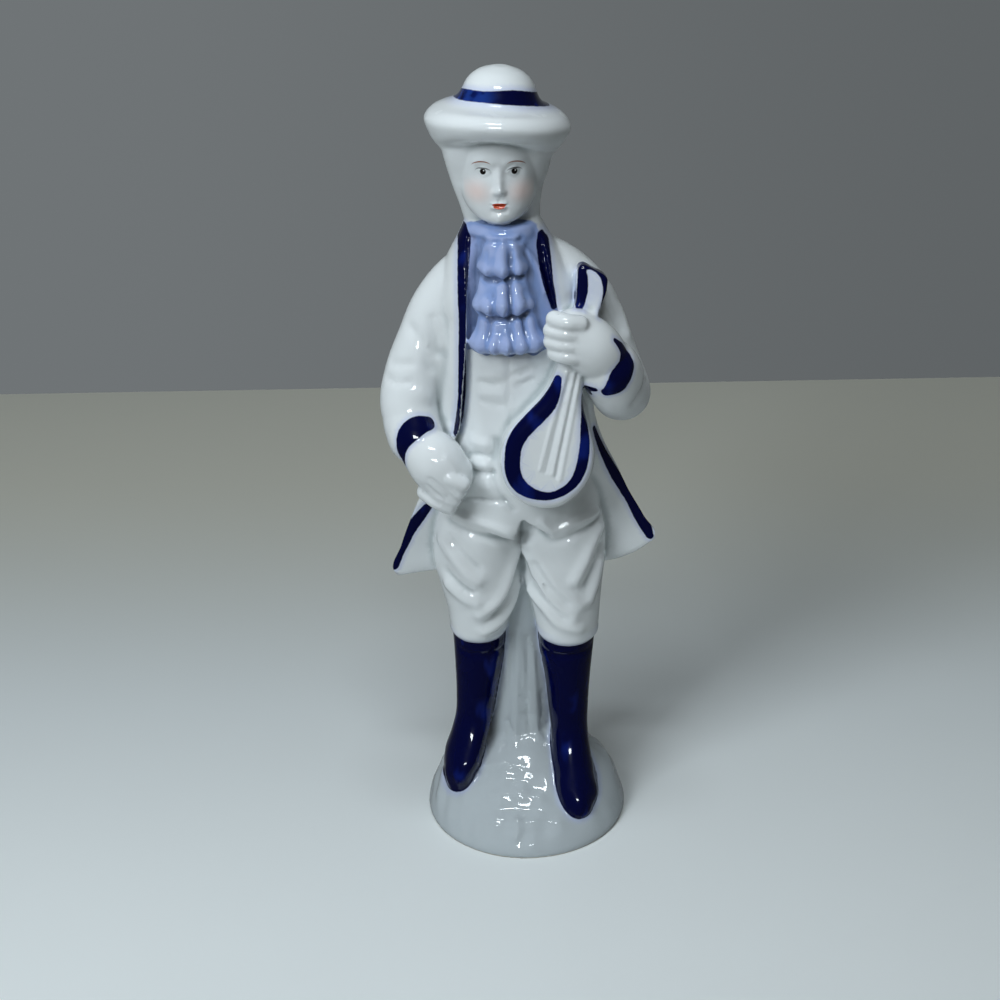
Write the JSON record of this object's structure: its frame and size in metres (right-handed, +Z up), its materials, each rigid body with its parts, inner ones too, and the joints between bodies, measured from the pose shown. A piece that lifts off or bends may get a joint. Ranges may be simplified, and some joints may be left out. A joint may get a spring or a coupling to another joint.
{
  "type": "musician figurine",
  "caption": "Blue and white glazed porcelain figurine of a lute player in a brimmed hat, open long coat and tall boots, standing on a round mound.",
  "frame": {"origin": "middle of the mound's flat underside, on the table it stands on", "axes": "+Z up along the standing figure, -Y out of its front, +X to the right of somebody who looks at its front"},
  "size_m": [0.0674, 0.0536, 0.2001],
  "materials": {
    "porcelain": "gloss"
  },
  "bodies": {
    "root": {"musician_figurine": "porcelain"}
  },
  "joints": []
}
